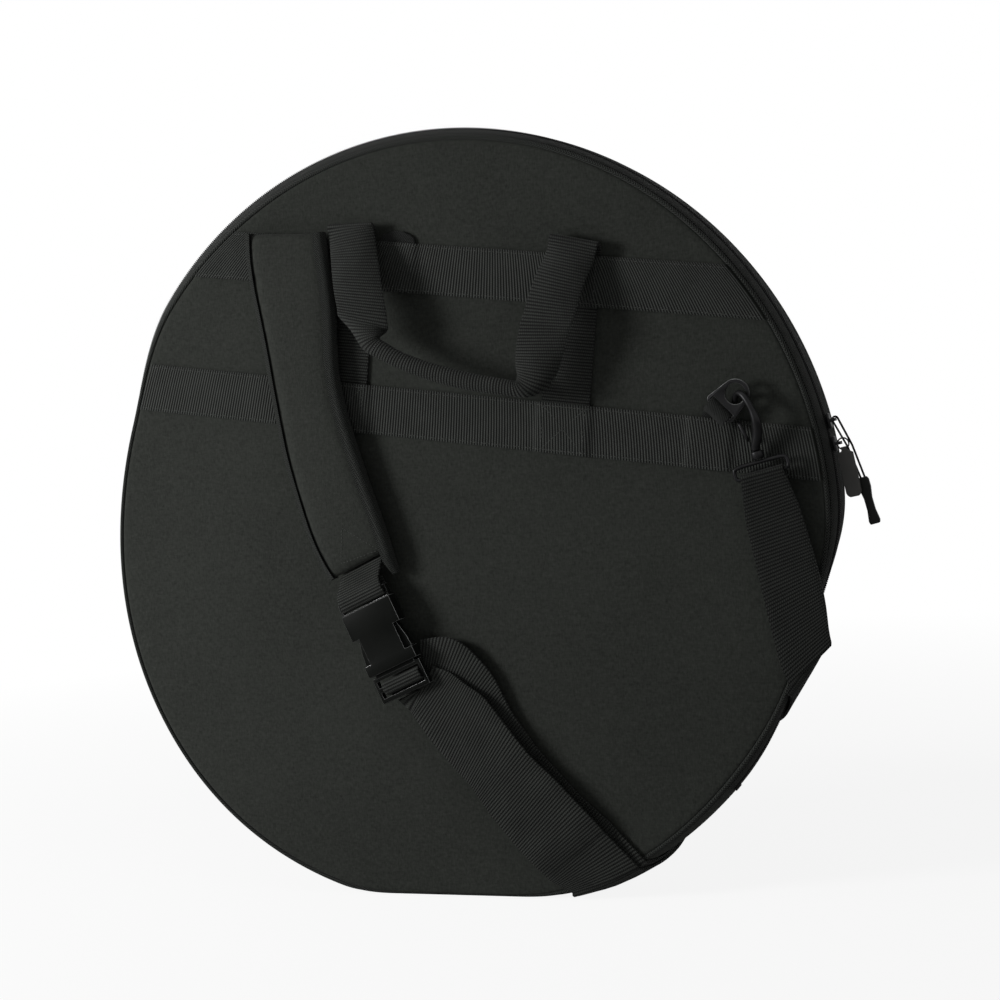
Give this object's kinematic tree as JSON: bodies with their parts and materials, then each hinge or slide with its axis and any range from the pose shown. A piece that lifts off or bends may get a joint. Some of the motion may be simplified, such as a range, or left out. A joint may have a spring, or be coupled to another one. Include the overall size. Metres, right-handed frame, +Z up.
{
  "type": "cymbal bag",
  "caption": "Round padded cymbal bag that stands on its rim, with a zip round the edge, a webbing carrying handle and a padded shoulder strap with a side-release buckle and a snap hook.",
  "frame": {"origin": "centre of the flat stretch of the rim that the bag stands on", "axes": "+Z up, -Y out of the panel that carries the handle and strap, +X to the right seen from that side"},
  "size_m": [0.6327, 0.1012, 0.5999],
  "materials": {
    "cloth": "matte woven",
    "lining": "smooth woven",
    "foam": "matte",
    "tape": "herringbone woven",
    "coil": "satin",
    "webbing": "ribbed woven",
    "pad": "matte woven",
    "buckle": "satin",
    "metal": "black plated, glossy",
    "pull": "satin"
  },
  "bodies": {
    "back_half": {"back_panel": "cloth", "back_foam": "foam", "back_lining": "lining", "back_piping": "cloth", "zip_tape_back": "tape", "zip_coil_back": "coil", "hinge_gusset": "cloth", "zip_stop_left": "metal", "zip_stop_right": "metal", "upper_band": "webbing", "lower_band": "webbing", "handle_strip_left": "webbing", "handle_strip_right": "webbing", "strap_anchor_tab": "webbing", "shoulder_pad": "pad", "pad_binding_left": "tape", "pad_binding_right": "tape", "pad_webbing": "webbing", "buckle_female": "buckle", "buckle_male": "buckle", "strap_bar_loop": "webbing", "strap_front_run": "webbing", "strap_tail": "webbing", "strap_back_run": "webbing", "hook_strap": "webbing", "hook_ring": "metal", "hook_collar": "metal", "plate_tab": "webbing", "ring_plate": "metal"},
    "front_half": {"front_panel": "cloth", "front_foam": "foam", "front_lining": "lining", "front_piping": "cloth", "zip_tape_front": "tape", "zip_coil_front": "coil", "front_gusset": "cloth"},
    "handle": {"handle_webbing_left": "webbing", "handle_webbing_right": "webbing", "handle_grip": "webbing"},
    "slider_upper": {"slider_upper": "metal"},
    "pull_upper": {"cord_upper": "webbing", "grip_upper": "pull"},
    "slider_lower": {"slider_lower": "metal"},
    "pull_lower": {"ring_lower": "metal", "tab_lower": "pull"},
    "prong_left": {"prong_left": "buckle"},
    "prong_right": {"prong_right": "buckle"},
    "hook": {"hook_body": "metal"},
    "hook_gate": {"hook_gate": "metal"}
  },
  "joints": [
    {"name": "lid_opening", "type": "hinge", "parent": "back_half", "child": "front_half", "pos_m": [0, 0.029, 0], "axis": [-1, 0, 0], "range_deg": [0, 90], "deforming": ["strap_back_run", "hook_strap"]},
    {"name": "handle_swing", "type": "hinge", "parent": "back_half", "child": "handle", "pos_m": [0.03509, -0.03741, 0.51604], "axis": [-0.9877, 0, 0.1564], "range_deg": [0, 150]},
    {"name": "slider_upper_run", "type": "hinge", "parent": "back_half", "child": "slider_upper", "pos_m": [0, -0.0108, 0.2945], "axis": [0, -1, 0], "range_deg": [0, 128]},
    {"name": "pull_upper_swing", "type": "hinge", "parent": "slider_upper", "child": "pull_upper", "pos_m": [0.30494, -0.0097, 0.35599], "axis": [0, -1, 0], "range_deg": [0, 150]},
    {"name": "slider_lower_run", "type": "hinge", "parent": "back_half", "child": "slider_lower", "pos_m": [0, -0.0108, 0.2945], "axis": [0, 1, 0], "range_deg": [0, 5]},
    {"name": "pull_lower_swing", "type": "hinge", "parent": "slider_lower", "child": "pull_lower", "pos_m": [0.30789, -0.0122, 0.33888], "axis": [0, -1, 0], "range_deg": [0, 75]},
    {"name": "prong_left_squeeze", "type": "hinge", "parent": "back_half", "child": "prong_left", "pos_m": [-0.06007, -0.0433, 0.18342], "axis": [0, 1, 0], "range_deg": [0, 7], "stiffness_Nm_per_rad": 0.4, "springref_deg": -1.72},
    {"name": "prong_right_squeeze", "type": "hinge", "parent": "back_half", "child": "prong_right", "pos_m": [-0.03195, -0.0433, 0.19497], "axis": [0, -1, 0], "range_deg": [0, 7], "stiffness_Nm_per_rad": 0.4, "springref_deg": -1.72},
    {"name": "hook_swivel", "type": "hinge", "parent": "back_half", "child": "hook", "pos_m": [0.2534, -0.0385, 0.3315], "axis": [-0.2139, 0, 0.9769], "range_deg": [-6, 6]},
    {"name": "hook_gate_push", "type": "hinge", "parent": "hook", "child": "hook_gate", "pos_m": [0.2471, -0.0369, 0.3434], "axis": [0.5404, 0.833, 0.1183], "range_deg": [0, 20], "stiffness_Nm_per_rad": 0.02, "springref_deg": -5.73}
  ]
}
